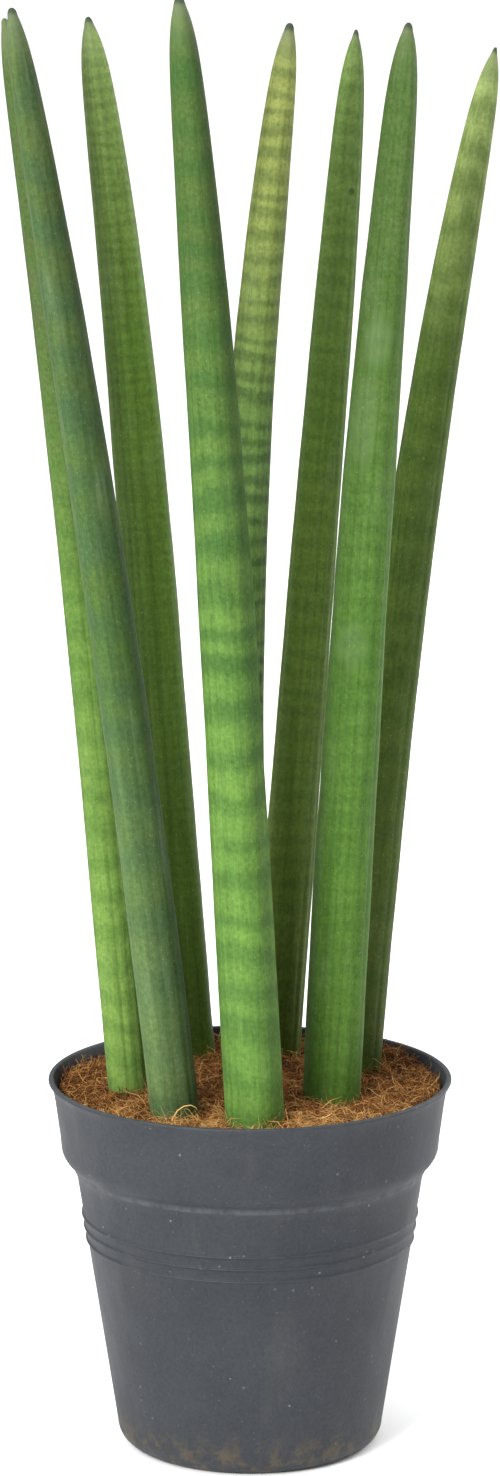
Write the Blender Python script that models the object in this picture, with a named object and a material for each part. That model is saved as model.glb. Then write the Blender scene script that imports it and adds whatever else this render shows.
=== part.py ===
"""Cylindrical snake plant in a round nursery pot.

Eight round, tapering, ribbed leaves stand in coconut coir in a 12 cm plastic pot. Units are metres,
+Z is up and the origin is the middle of the pot's underside, on the ground. The plant is seen from
the front when looking along +Y, with +X to the right.
"""

import math
import random
from dataclasses import dataclass

import bmesh
import bpy
from mathutils import Vector, noise

# Pot
LIP_RADIUS = 0.0594
LIP_TOP = 0.1108
LIP_ROLL = 0.0006
LIP_ROLL_SPAN = (-40.0, 90.0)
LIP_FLARE = ((0.0004, 0.0020), (0.0010, 0.0033))
LIP_INNER_RADIUS = 0.0577
LIP_INNER_ROUNDING = 0.0005
LIP_INNER_FLARE = (0.0006, 0.0026)
COLLAR_TOP_RADIUS = 0.0576
COLLAR_TOP = 0.1056
COLLAR_FOOT_RADIUS = 0.0557
COLLAR_FOOT = 0.0904
STEP_RADIUS = 0.0516
STEP_BOTTOM = 0.0848
STEP_CURVE = ((0.42, 0.22), (0.86, 0.58))
BODY_FOOT_RADIUS = 0.0394
BODY_FOOT = 0.0060
FOOT_RADIUS = 0.0340
FOOT_CURVE_ANGLES = (-68.0, -45.0, -22.0)
WALL = 0.0012
POT_SIDES = 44
SHARP_ANGLE = 38.0

# Raised rings round the pot's body
RING_HEIGHTS = (0.0698, 0.0660, 0.0622)
RING_RELIEF = 0.0004
RING_WIDTH = 0.0012

# Underside: a foot ring, a middle disc on the ground, a raised floor and its drainage holes
FOOT_RING_INNER_RADIUS = 0.0300
MIDDLE_DISC_RADIUS = 0.0130
UNDERSIDE_TAPER = 0.0006
FLOOR_UNDERSIDE = 0.0022
FLOOR_TOP = 0.0036
DRAIN_COUNT = 8
DRAIN_RADIUS = 0.0035
DRAIN_CIRCLE = 0.0218
DRAIN_SIDES = 12

# Coir
GAP = 0.0003
WALL_PLAY = 0.00045
HOLE_PLAY = 0.0004
SOIL_LEVEL = 0.1072
SOIL_EDGE_DROP = 0.0005
SOIL_EDGE_WIDTH = 0.008
SOIL_RIPPLE = 0.0011
SOIL_RIPPLE_SIZE = 0.010
FINE_RIPPLE = 0.00044
FINE_RIPPLE_SIZE = 0.0037
MOUND = (0.0410, 0.0360)
MOUND_RISE = 0.0020
MOUND_WIDTH = 0.013
SOIL_RINGS = 9
SOIL_SEED = 12
LUMP_COUNT = 36
LUMP_SIZES = (0.0014, 0.0028)
LUMP_SUNK = 0.35
LUMP_STRETCHES = ((0.8, 1.2), (0.7, 1.1), (0.55, 0.8))
FIBRE_COUNT = 30
FIBRE_LENGTHS = (0.006, 0.013)
FIBRE_RADIUS = 0.0005
FIBRE_ARCH = 0.0011
FIBRE_DIP = 2.2
FIBRE_CURL = 0.6
FIBRE_STEPS = 4
LEAF_CLEARANCE = 0.0012

# Leaves
LEAF_SIDES = 24
LEAF_RINGS = 19
LEAF_RING_CROWDING = 1.7
CURVE_STEP = 0.002
LEAF_REACH = 0.32
BURIED_DEPTH = 0.030
BURIED_TAPER = 0.72
HEEL_SHARE = 0.6
BURIED_ROUNDING = 0.004
HOLE_RISE = 0.012
RIB_DEPTH = 0.055
RIB_FADE = 0.03
TIP_SHARE = 0.43
TIP_ROUNDING = 0.008
TAPER_LENGTH = 0.095
TIP_RADIUS = 0.0005
BLUNT_ROUNDING = 0.0004
BLUNT_LENGTH = 0.011


@dataclass(frozen=True)
class Leaf:
    """One leaf: where it leaves the coir, where its tip is, how it bows, how thick and how blunt it is."""

    name: str
    foot: tuple
    tip: tuple
    bow: float
    skew: float
    girth: float
    blunt: float
    colour: tuple


LEAVES = (
    Leaf("leaf_left_outer", (-0.0358, -0.0040), (-0.0699, 0.0060, 0.4197), 0.0029, -0.0007, 0.0058, 0.0005,
         (0.225, 0.330, 0.050)),
    Leaf("leaf_left_front", (-0.0217, -0.0300), (-0.0658, -0.0400, 0.4255), 0.0027, 0.0, 0.0071, 0.0007,
         (0.075, 0.170, 0.060)),
    Leaf("leaf_left_back", (-0.0191, 0.0375), (-0.0475, 0.0520, 0.4172), 0.0023, -0.0015, 0.0088, 0.0004,
         (0.060, 0.130, 0.035)),
    Leaf("leaf_centre_front", (0.0015, -0.0390), (-0.0195, -0.0500, 0.4290), 0.0017, -0.0004, 0.0085, 0.0008,
         (0.110, 0.235, 0.040)),
    Leaf("leaf_centre", (0.0010, 0.0140), (0.0115, 0.0180, 0.4176), -0.0085, -0.0007, 0.0078, 0.0006,
         (0.170, 0.220, 0.055)),
    Leaf("leaf_right_back", (0.0078, 0.0395), (0.0311, 0.0500, 0.4136), -0.0004, -0.0002, 0.0076, 0.0001,
         (0.060, 0.115, 0.030)),
    Leaf("leaf_right_front", (0.0238, -0.0130), (0.0443, -0.0220, 0.4203), -0.0020, 0.0001, 0.0085, 0.0005,
         (0.090, 0.215, 0.045)),
    Leaf("leaf_right_outer", (0.0311, 0.0200), (0.0711, 0.0320, 0.4097), -0.0048, 0.0006, 0.0080, 0.0000,
         (0.085, 0.165, 0.045)),
)

POT_COLOUR = (0.075, 0.089, 0.102)
SOIL_COLOUR = (0.235, 0.110, 0.047)


def clear_scene():
    """Remove every object of the scene the script starts in."""
    for existing in list(bpy.data.objects):
        bpy.data.objects.remove(existing, do_unlink=True)


def make_material(name, colour, roughness):
    """Return a Principled material of one colour and roughness."""
    material = bpy.data.materials.new(name)
    material.use_nodes = True
    shader = material.node_tree.nodes["Principled BSDF"]
    shader.inputs["Base Color"].default_value = (*colour, 1.0)
    shader.inputs["Roughness"].default_value = roughness
    shader.inputs["Metallic"].default_value = 0.0
    material.diffuse_color = (*colour, 1.0)
    return material


def object_from(mesh_builder, name, material=None):
    """Turn a bmesh into a named object of the scene, with its faces pointing out."""
    bmesh.ops.recalc_face_normals(mesh_builder, faces=mesh_builder.faces[:])
    mesh = bpy.data.meshes.new(name)
    mesh_builder.to_mesh(mesh)
    mesh_builder.free()
    if material:
        mesh.materials.append(material)
    made = bpy.data.objects.new(name, mesh)
    bpy.context.scene.collection.objects.link(made)
    return made


def shade_round(target, sharp_angle=SHARP_ANGLE):
    """Shade an object smooth and keep its real corners sharp."""
    target.data.shade_smooth()
    target.data.set_sharp_from_angle(angle=math.radians(sharp_angle))


def combine(target, others, operation):
    """Join the other objects to the target, or cut them out of it, and remove them."""
    group = bpy.data.collections.new("combine")
    bpy.context.scene.collection.children.link(group)
    for other in others:
        group.objects.link(other)
    modifier = target.modifiers.new("combine", "BOOLEAN")
    modifier.operation = operation
    modifier.operand_type = "COLLECTION"
    modifier.collection = group
    modifier.solver = "EXACT"
    depsgraph = bpy.context.evaluated_depsgraph_get()
    result = bpy.data.meshes.new_from_object(target.evaluated_get(depsgraph))
    target.modifiers.remove(modifier)
    target.data = result
    for other in others:
        bpy.data.objects.remove(other, do_unlink=True)
    bpy.data.collections.remove(group)


def spin_outline(outline, sides):
    """Turn a closed outline of (radius, height) points round the Z axis into a bmesh."""
    builder = bmesh.new()
    points = [builder.verts.new((radius, 0.0, height)) for radius, height in outline]
    edges = [builder.edges.new(pair) for pair in zip(points[:-1], points[1:])]
    bmesh.ops.spin(
        builder,
        geom=points + edges,
        cent=(0.0, 0.0, 0.0),
        axis=(0.0, 0.0, 1.0),
        angle=math.tau,
        steps=sides,
        use_merge=True,
    )
    bmesh.ops.remove_doubles(builder, verts=builder.verts[:], dist=1e-6)
    return builder


def body_radius(height):
    """Return the outer radius of the pot's tapering body at a height."""
    share = (height - BODY_FOOT) / (STEP_BOTTOM - BODY_FOOT)
    return BODY_FOOT_RADIUS + (STEP_RADIUS - BODY_FOOT_RADIUS) * share


def arc_points(centre, radius, start, end, count):
    """Return points along an arc, its angles in degrees from the outward direction."""
    points = []
    for index in range(count):
        angle = math.radians(start + (end - start) * index / (count - 1))
        points.append((centre[0] + radius * math.cos(angle), centre[1] + radius * math.sin(angle)))
    return points


def underside_outline():
    """Return the pot's underside, from the axis out to the foot ring's outer edge."""
    return [
        (0.0, 0.0),
        (MIDDLE_DISC_RADIUS, 0.0),
        (MIDDLE_DISC_RADIUS + UNDERSIDE_TAPER, FLOOR_UNDERSIDE),
        (FOOT_RING_INNER_RADIUS - UNDERSIDE_TAPER, FLOOR_UNDERSIDE),
        (FOOT_RING_INNER_RADIUS, 0.0),
        (FOOT_RADIUS, 0.0),
    ]


def foot_curve():
    """Return the rounded edge between the foot ring and the body, from the ground up."""
    middle = (FOOT_RADIUS, BODY_FOOT)
    across = BODY_FOOT_RADIUS - FOOT_RADIUS
    points = []
    for degrees in FOOT_CURVE_ANGLES:
        angle = math.radians(degrees)
        points.append((middle[0] + across * math.cos(angle), middle[1] + BODY_FOOT * math.sin(angle)))
    return points


def outside_outline():
    """Return the pot's outer side from the foot up to the lip's inner edge."""
    outline = foot_curve()
    outline.append((BODY_FOOT_RADIUS, BODY_FOOT))
    for height in sorted(RING_HEIGHTS):
        below = height - RING_WIDTH / 2
        above = height + RING_WIDTH / 2
        outline.append((body_radius(below), below))
        outline.append((body_radius(height) + RING_RELIEF, height))
        outline.append((body_radius(above), above))
    outline.append((STEP_RADIUS, STEP_BOTTOM))
    step_rise = COLLAR_FOOT - STEP_BOTTOM
    step_out = COLLAR_FOOT_RADIUS - STEP_RADIUS
    for outward, upward in STEP_CURVE:
        outline.append((STEP_RADIUS + outward * step_out, STEP_BOTTOM + upward * step_rise))
    outline.append((COLLAR_FOOT_RADIUS, COLLAR_FOOT))
    outline.append((COLLAR_TOP_RADIUS, COLLAR_TOP))
    for outward, upward in LIP_FLARE:
        outline.append((COLLAR_TOP_RADIUS + outward, COLLAR_TOP + upward))
    roll_centre = (LIP_RADIUS - LIP_ROLL, LIP_TOP - LIP_ROLL)
    outline.extend(arc_points(roll_centre, LIP_ROLL, *LIP_ROLL_SPAN, 4))
    outline.append((LIP_INNER_RADIUS + LIP_INNER_ROUNDING, LIP_TOP))
    return outline


def inside_outline():
    """Return the pot's inner side from the lip down to the floor's outer edge."""
    return [
        (LIP_INNER_RADIUS, LIP_TOP - LIP_INNER_ROUNDING),
        (COLLAR_TOP_RADIUS - WALL + LIP_INNER_FLARE[0], COLLAR_TOP + LIP_INNER_FLARE[1]),
        (COLLAR_TOP_RADIUS - WALL, COLLAR_TOP),
        (COLLAR_FOOT_RADIUS - WALL, COLLAR_FOOT),
        (STEP_RADIUS - WALL, STEP_BOTTOM),
        (BODY_FOOT_RADIUS - WALL, BODY_FOOT),
        (BODY_FOOT_RADIUS - 2 * WALL, FLOOR_TOP),
    ]


def make_pot():
    """Build the pot: a thin turned wall on a floor with drainage holes."""
    outline = underside_outline() + outside_outline() + inside_outline() + [(0.0, FLOOR_TOP)]
    material = make_material("slate_plastic", POT_COLOUR, 0.55)
    pot = object_from(spin_outline(outline, POT_SIDES), "pot", material)
    drill = bmesh.new()
    for index in range(DRAIN_COUNT):
        angle = math.tau * (index + 0.5) / DRAIN_COUNT
        place = Vector((DRAIN_CIRCLE * math.cos(angle), DRAIN_CIRCLE * math.sin(angle), FLOOR_TOP / 2))
        made = bmesh.ops.create_cone(
            drill,
            cap_ends=True,
            segments=DRAIN_SIDES,
            radius1=DRAIN_RADIUS,
            radius2=DRAIN_RADIUS,
            depth=4 * FLOOR_TOP,
        )
        bmesh.ops.translate(drill, verts=made["verts"], vec=place)
    combine(pot, [object_from(drill, "drill")], "DIFFERENCE")
    shade_round(pot)
    return pot


def wall_radius(height):
    """Return the radius of the pot's inner wall at a height above the step."""
    share = (height - COLLAR_FOOT) / (COLLAR_TOP - COLLAR_FOOT)
    return COLLAR_FOOT_RADIUS - WALL + (COLLAR_TOP_RADIUS - COLLAR_FOOT_RADIUS) * share


def soil_height(x, y):
    """Return the height of the coir's surface: rippled, with one mound and lower along the wall."""
    edge = wall_radius(SOIL_LEVEL) - math.hypot(x, y)
    drop = SOIL_EDGE_DROP * max(0.0, 1.0 - edge / SOIL_EDGE_WIDTH) ** 2
    place = Vector((x, y, 0.0))
    ripple = SOIL_RIPPLE * noise.noise(place / SOIL_RIPPLE_SIZE)
    fine_ripple = FINE_RIPPLE * noise.noise(place / FINE_RIPPLE_SIZE)
    mound = MOUND_RISE * math.exp(-(math.hypot(x - MOUND[0], y - MOUND[1]) / MOUND_WIDTH) ** 2)
    return SOIL_LEVEL + ripple + fine_ripple + mound - drop


def leaf_centre(leaf, share):
    """Return the point of a leaf's middle line, from 0 at the coir to 1 at the tip."""
    foot = Vector((*leaf.foot, SOIL_LEVEL))
    point = foot.lerp(Vector(leaf.tip), share)
    spread = share * (1.0 - share)
    point.x += 4.0 * leaf.bow * spread + 6.0 * leaf.skew * spread * (1.0 - 2.0 * share)
    return point


def leaf_radius(leaf, from_tip):
    """Return a leaf's radius at a distance from its tip: a blunt point, then a long taper."""
    point = TIP_SHARE * (1.0 - math.exp(-from_tip / TIP_ROUNDING))
    taper = (1.0 - math.exp(-from_tip / TAPER_LENGTH)) / (1.0 - math.exp(-LEAF_REACH / TAPER_LENGTH))
    blunt = (1.0 - math.exp(-from_tip / BLUNT_ROUNDING)) * math.exp(-from_tip / BLUNT_LENGTH)
    return leaf.girth * (point + (1.0 - TIP_SHARE) * taper) + leaf.blunt * blunt


def leaf_down(leaf):
    """Return the direction in which a leaf goes on below the coir's surface."""
    return (leaf_centre(leaf, 0.0) - leaf_centre(leaf, 5 * CURVE_STEP)).normalized()


def cross_axes(along):
    """Return two directions at right angles to a leaf's middle line."""
    side = along.cross(Vector((0.0, 1.0, 0.0))).normalized()
    return side, side.cross(along).normalized()


def add_ring(builder, centre, along, radius, rib_depth, sides):
    """Add one ring of points round a leaf, every second one drawn in as a groove."""
    side, depth = cross_axes(along)
    ring = []
    for index in range(sides):
        angle = math.tau * index / sides
        reach = radius * (1.0 - rib_depth * (index % 2))
        ring.append(builder.verts.new(centre + reach * (math.cos(angle) * side + math.sin(angle) * depth)))
    return ring


def skin_rings(builder, rings):
    """Join rings of equal size with faces and close both ends."""
    for lower, upper in zip(rings[:-1], rings[1:]):
        count = len(lower)
        for index in range(count):
            after = (index + 1) % count
            builder.faces.new((lower[index], lower[after], upper[after], upper[index]))
    builder.faces.new(rings[0])
    builder.faces.new(rings[-1])


def make_leaf(leaf):
    """Build one leaf, from its blunt lower end in the coir to its tip."""
    builder = bmesh.new()
    down = leaf_down(leaf)
    foot = leaf_centre(leaf, 0.0)
    foot_radius = leaf_radius(leaf, LEAF_REACH)
    heel = foot + down * BURIED_DEPTH
    shoulder = heel - down * BURIED_ROUNDING
    rings = [
        add_ring(builder, heel, -down, foot_radius * BURIED_TAPER * HEEL_SHARE, 0.0, LEAF_SIDES),
        add_ring(builder, shoulder, -down, foot_radius * BURIED_TAPER, 0.0, LEAF_SIDES),
    ]
    for index in range(LEAF_RINGS):
        away = (1.0 - index / (LEAF_RINGS - 1)) ** LEAF_RING_CROWDING
        share = 1.0 - away
        from_tip = away * LEAF_REACH
        along = leaf_centre(leaf, share + CURVE_STEP) - leaf_centre(leaf, share - CURVE_STEP)
        along.normalize()
        radius = max(TIP_RADIUS, leaf_radius(leaf, from_tip))
        fade = min(1.0, from_tip / RIB_FADE)
        rings.append(add_ring(builder, leaf_centre(leaf, share), along, radius, RIB_DEPTH * fade, LEAF_SIDES))
    skin_rings(builder, rings)
    made = object_from(builder, leaf.name, make_material(leaf.name + "_green", leaf.colour, 0.45))
    shade_round(made, 60.0)
    return made


def make_leaf_hole(leaf):
    """Build the plain round hole that a leaf stands in, as a body to cut out of the coir."""
    builder = bmesh.new()
    down = leaf_down(leaf)
    foot = leaf_centre(leaf, 0.0)
    radius = leaf_radius(leaf, LEAF_REACH) + HOLE_PLAY
    heel_radius = radius * BURIED_TAPER + GAP
    heel = foot + down * (BURIED_DEPTH + GAP)
    shoulder = foot + down * (BURIED_DEPTH - BURIED_ROUNDING)
    rings = [
        add_ring(builder, heel, -down, heel_radius, 0.0, LEAF_SIDES),
        add_ring(builder, shoulder, -down, heel_radius, 0.0, LEAF_SIDES),
        add_ring(builder, foot, -down, radius, 0.0, LEAF_SIDES),
        add_ring(builder, foot - down * HOLE_RISE, -down, radius, 0.0, LEAF_SIDES),
    ]
    skin_rings(builder, rings)
    return object_from(builder, "hole")


def clear_of_leaves(x, y, reach):
    """Tell whether a spot of the coir keeps clear of every leaf."""
    for leaf in LEAVES:
        free = leaf_radius(leaf, LEAF_REACH) + reach + LEAF_CLEARANCE
        if math.hypot(x - leaf.foot[0], y - leaf.foot[1]) < free:
            return False
    return math.hypot(x, y) + reach < wall_radius(SOIL_LEVEL) - LEAF_CLEARANCE


def free_spot(rng, reach):
    """Draw a spot on the coir that is clear of the leaves and the wall."""
    while True:
        distance = wall_radius(SOIL_LEVEL) * math.sqrt(rng.random())
        angle = math.tau * rng.random()
        x = distance * math.cos(angle)
        y = distance * math.sin(angle)
        if clear_of_leaves(x, y, reach):
            return x, y


def make_lump(rng):
    """Build one crumb of coir, sunk into the surface."""
    size = rng.uniform(*LUMP_SIZES)
    x, y = free_spot(rng, size)
    builder = bmesh.new()
    bmesh.ops.create_icosphere(builder, subdivisions=1, radius=size)
    stretch = Vector([rng.uniform(*span) for span in LUMP_STRETCHES])
    bmesh.ops.scale(builder, vec=stretch, verts=builder.verts[:])
    place = Vector((x, y, soil_height(x, y) - LUMP_SUNK * size))
    bmesh.ops.translate(builder, vec=place, verts=builder.verts[:])
    return object_from(builder, "lump")


def make_fibre(rng):
    """Build one coarse coir fibre that lies on the surface, both of its ends sunk in."""
    length = rng.uniform(*FIBRE_LENGTHS)
    x, y = free_spot(rng, length / 2)
    heading = math.tau * rng.random()
    curl = rng.uniform(-FIBRE_CURL, FIBRE_CURL)
    points = []
    for index in range(FIBRE_STEPS + 1):
        share = index / FIBRE_STEPS - 0.5
        turn = heading + curl * share
        px = x + length * share * math.cos(turn)
        py = y + length * share * math.sin(turn)
        arch = FIBRE_ARCH * (1.0 - FIBRE_DIP * (2.0 * share) ** 2)
        points.append(Vector((px, py, soil_height(px, py) + arch)))
    builder = bmesh.new()
    rings = []
    for index, point in enumerate(points):
        along = (points[min(index + 1, FIBRE_STEPS)] - points[max(index - 1, 0)]).normalized()
        side = along.cross(Vector((0.0, 0.0, 1.0))).normalized() * FIBRE_RADIUS
        above = side.cross(along).normalized() * FIBRE_RADIUS
        corners = (side, above, -side, -above)
        rings.append([builder.verts.new(point + corner) for corner in corners])
    skin_rings(builder, rings)
    return object_from(builder, "fibre")


def make_soil():
    """Build the coir: one body that fills the pot, with crumbs and fibres grown out of its top."""
    builder = bmesh.new()
    rings = []
    edge = wall_radius(SOIL_LEVEL) - WALL_PLAY
    angles = [math.tau * index / POT_SIDES for index in range(POT_SIDES)]
    wall = [(radius - WALL_PLAY, height) for radius, height in inside_outline()[3:]]
    wall[-1] = (wall[-1][0], FLOOR_TOP + GAP)
    for radius, height in reversed(wall):
        corners = [(radius * math.cos(angle), radius * math.sin(angle), height) for angle in angles]
        rings.append([builder.verts.new(corner) for corner in corners])
    for index in range(SOIL_RINGS, 0, -1):
        radius = edge * index / SOIL_RINGS
        ring = []
        for angle in angles:
            x = radius * math.cos(angle)
            y = radius * math.sin(angle)
            ring.append(builder.verts.new((x, y, soil_height(x, y))))
        rings.append(ring)
    skin_rings(builder, rings)
    soil = object_from(builder, "soil", make_material("coir", SOIL_COLOUR, 0.95))
    rng = random.Random(SOIL_SEED)
    pieces = [make_lump(rng) for _ in range(LUMP_COUNT)]
    pieces += [make_fibre(rng) for _ in range(FIBRE_COUNT)]
    combine(soil, pieces, "UNION")
    combine(soil, [make_leaf_hole(leaf) for leaf in LEAVES], "DIFFERENCE")
    return soil


def main():
    """Build the whole plant."""
    clear_scene()
    make_pot()
    make_soil()
    for leaf in LEAVES:
        make_leaf(leaf)


main()
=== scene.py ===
"""Looks of the potted cylindrical snake plant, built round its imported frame.

Each sub-assembly is a class: the leaves, the coir they stand in, the nursery pot and the studio.
Sizes are in metres, +Z is up, and the plant is seen from the front when looking along +Y.
"""

import logging
import math
from dataclasses import dataclass
from enum import Enum

import bmesh
import bpy
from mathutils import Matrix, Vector, noise

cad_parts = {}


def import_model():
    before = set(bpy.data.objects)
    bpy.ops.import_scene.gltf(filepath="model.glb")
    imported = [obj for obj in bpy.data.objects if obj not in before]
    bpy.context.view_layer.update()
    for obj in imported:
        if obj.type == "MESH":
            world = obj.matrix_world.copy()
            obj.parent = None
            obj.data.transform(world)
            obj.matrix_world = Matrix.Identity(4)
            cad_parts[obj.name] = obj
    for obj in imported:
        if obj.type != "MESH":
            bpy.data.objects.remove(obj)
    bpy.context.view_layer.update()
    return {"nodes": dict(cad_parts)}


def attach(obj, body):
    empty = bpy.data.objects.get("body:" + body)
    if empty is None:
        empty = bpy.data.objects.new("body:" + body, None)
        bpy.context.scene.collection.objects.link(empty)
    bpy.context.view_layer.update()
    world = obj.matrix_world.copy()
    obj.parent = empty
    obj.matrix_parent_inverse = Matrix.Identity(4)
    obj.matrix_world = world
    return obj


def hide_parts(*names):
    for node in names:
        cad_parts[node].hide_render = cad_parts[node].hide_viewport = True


LOG = logging.getLogger("snake_plant")

BODY = "root"

# Attributes of the meshes, for their materials and trees
SKIN, AXIS, TURN, SHARE = "skin", "axis", "turn", "share"
TINT, OWN, OPEN, WEAR_AND_HIGHLIGHT = "tint", "own", "open", "wear_and_highlight"
PLACE_KIND = "FLOAT_VECTOR"

# The leaves' common taper
LEAF_REACH = 0.32
TIP_SHARE = 0.43
TIP_ROUNDING = 0.008
TAPER_LENGTH = 0.095
BLUNT_ROUNDING = 0.0004
BLUNT_LENGTH = 0.011
SOIL_LEVEL = 0.1072


def paint(red: int, green: int, blue: int) -> tuple[float, float, float, float]:
    """Turn a colour as seen on a screen, from 0 to 255, into the linear one that shaders use.

    Args:
        red: The share of red.
        green: The share of green.
        blue: The share of blue.

    Returns:
        The linear red, green, blue and alpha.
    """
    shares = [value / 255 for value in (red, green, blue)]
    linear = [share / 12.92 if share <= 0.04045 else ((share + 0.055) / 1.055) ** 2.4
              for share in shares]
    return (*linear, 1.0)


class Term:
    """A node's output that takes part in sums; a vector works on its three numbers."""

    def __init__(self, graph: "Graph", socket: bpy.types.NodeSocket) -> None:
        """Hold the output and the graph that its sums go into."""
        self.graph = graph
        self.socket = socket

    @property
    def spatial(self) -> bool:
        """Tell whether this is a vector or a colour."""
        return self.socket.type in ("VECTOR", "RGBA")

    def join(self, operation: str, first: object, second: object) -> "Term":
        """Add the node that works out one sum."""
        work = self.graph.vector if self.spatial else self.graph.maths
        return work(operation, first, second)

    def __add__(self, other: object) -> "Term":
        """Add another value."""
        return self.join("ADD", self, other)

    def __sub__(self, other: object) -> "Term":
        """Take another value away."""
        return self.join("SUBTRACT", self, other)

    def __rsub__(self, other: object) -> "Term":
        """Take this value away from another."""
        return self.join("SUBTRACT", other, self)

    def __mul__(self, other: object) -> "Term":
        """Multiply by another value; a number scales a vector."""
        number = isinstance(other, float) or (isinstance(other, Term) and not other.spatial)
        return self.join("SCALE" if self.spatial and number else "MULTIPLY", self, other)

    def __truediv__(self, other: object) -> "Term":
        """Divide by another value."""
        return self.join("DIVIDE", self, other)

    def __pow__(self, other: object) -> "Term":
        """Raise to a power."""
        return self.join("POWER", self, other)


class Graph:
    """Adds and links the nodes of one node tree, for geometry and for shaders."""

    def __init__(self, tree: bpy.types.NodeTree) -> None:
        """Hold the tree that the nodes go into."""
        self.tree = tree

    def add(self, kind: str, inputs: dict | None = None, **settings) -> bpy.types.Node:
        """Add a node, set its options and feed its inputs.

        Args:
            kind: The node's type name.
            inputs: What each input gets, by name or number: a term or a plain value.
            **settings: Options of the node itself.

        Returns:
            The new node.
        """
        node = self.tree.nodes.new(kind)
        for name, value in settings.items():
            setattr(node, name, value)
        for name, value in (inputs or {}).items():
            self.feed(node.inputs[name], value)
        return node

    def get(self, kind: str, inputs: dict | None = None, output: int | str = 0, **settings) -> Term:
        """Add a node and take the output of this name or number."""
        return Term(self, self.add(kind, inputs, **settings).outputs[output])

    def feed(self, socket: bpy.types.NodeSocket, value: object) -> None:
        """Link a socket to a term, or set its plain value."""
        if isinstance(value, Term):
            self.tree.links.new(value.socket, socket)
        else:
            socket.default_value = value

    def maths(self, operation: str, *values: object, clamp: bool = False) -> Term:
        """Work out a number from one or two others."""
        return self.get("ShaderNodeMath", dict(enumerate(values)), operation=operation, use_clamp=clamp)

    def vector(self, operation: str, *values: object) -> Term:
        """Work out a vector, or a length; SCALE takes a vector and a number."""
        inputs = dict(zip((0, "Scale") if operation == "SCALE" else (0, 1), values))
        output = "Value" if operation == "LENGTH" else "Vector"
        return self.get("ShaderNodeVectorMath", inputs, output, operation=operation)

    def combine(self, x: object, y: object, z: object) -> Term:
        """Put three numbers together as a vector."""
        return self.get("ShaderNodeCombineXYZ", {0: x, 1: y, 2: z})

    def separate(self, vector: Term) -> tuple[Term, ...]:
        """Take a vector apart into its three numbers."""
        return tuple(Term(self, part) for part in self.add("ShaderNodeSeparateXYZ", {0: vector}).outputs)

    def span(self, value: object, low: float, high: float, start: float = 0.0,
             end: float = 1.0, smooth: bool = True) -> Term:
        """Map a number from one range to another, clamped.

        Args:
            value: The number to map.
            low: Where the first range starts.
            high: Where the first range ends.
            start: What the low end becomes.
            end: What the high end becomes.
            smooth: Whether it eases in and out.

        Returns:
            The mapped number.
        """
        inputs = {"Value": value, "From Min": low, "From Max": high, "To Min": start, "To Max": end}
        return self.get("ShaderNodeMapRange", inputs, interpolation_type="SMOOTHSTEP" if smooth else "LINEAR")

    def noise(self, place: object, scale: float, detail: float = 2.0, roughness: float = 0.5,
              output: int | str = 0) -> Term:
        """Return a noise value, or a noise colour, round one half at a place."""
        return self.get("ShaderNodeTexNoise", {"Vector": place, "Scale": scale, "Detail": detail,
                                               "Roughness": roughness}, output)

    def ramp(self, value: object, stops: tuple) -> Term:
        """Turn a number into a colour along a ramp.

        Args:
            value: The number.
            stops: The ramp's places and colours, in rising order.

        Returns:
            The colour.
        """
        node = self.add("ShaderNodeValToRGB", {0: value})
        elements = node.color_ramp.elements
        while len(elements) < len(stops):
            elements.new(1.0)
        for index, (place, colour) in enumerate(stops):
            elements[index].position = place
            elements[index].color = colour
        return Term(self, node.outputs[0])

    def blend(self, factor: object, first: object, second: object, kind: str = "MIX") -> Term:
        """Mix two colours, the second on top by a factor."""
        return self.get("ShaderNodeMix", {0: factor, 6: first, 7: second}, 2,
                        data_type="RGBA", blend_type=kind)

    def shade(self, colour: Term, light: Term) -> Term:
        """Multiply a colour by a number."""
        return self.blend(1.0, colour, self.combine(light, light, light), "MULTIPLY")

    def group(self, tree: bpy.types.NodeTree, **values: object) -> tuple[Term, ...]:
        """Place a shader group and return its outputs in order."""
        node = self.add("ShaderNodeGroup", values, node_tree=tree)
        return tuple(Term(self, output) for output in node.outputs)

    def read(self, name: str, kind: str = "FLOAT") -> Term:
        """Read a named attribute of the geometry."""
        return self.get("GeometryNodeInputNamedAttribute", {"Name": name}, data_type=kind)

    def store(self, shape: Term, name: str, value: Term, kind: str = "FLOAT", domain: str = "POINT") -> Term:
        """Keep a value on the geometry under a name."""
        return self.get("GeometryNodeStoreNamedAttribute", {"Geometry": shape, "Name": name, "Value": value},
                        data_type=kind, domain=domain)

    def here(self) -> Term:
        """Read the place of each point."""
        return self.get("GeometryNodeInputPosition")

    def move(self, shape: Term, way: str, value: Term) -> Term:
        """Move each point to a Position or by an Offset."""
        return self.get("GeometryNodeSetPosition", {"Geometry": shape, way: value})

    def sweep(self, curve: Term, sides: int, radius: Term) -> Term:
        """Sweep a round section along a curve, closed at its ends."""
        circle = self.get("GeometryNodeCurvePrimitiveCircle", {"Resolution": sides, "Radius": 1.0})
        return self.get("GeometryNodeCurveToMesh", {"Curve": curve, "Profile Curve": circle,
                                                    "Scale": radius, "Fill Caps": True})


class TreeKind(Enum):
    """The kinds of node group."""

    GEOMETRY = "GeometryNodeTree"
    SHADER = "ShaderNodeTree"


class SocketKind(Enum):
    """The kinds of socket that the groups use."""

    NUMBER = "NodeSocketFloat"
    WHOLE = "NodeSocketInt"
    PLACE = "NodeSocketVector"
    SHAPE = "NodeSocketGeometry"
    FINISH = "NodeSocketMaterial"

    def each(self, *labels: str) -> dict:
        """Give this kind to each of some names."""
        return dict.fromkeys(labels, self)


NUMBER, PLACE, SHAPE = SocketKind.NUMBER, SocketKind.PLACE, SocketKind.SHAPE


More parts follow.
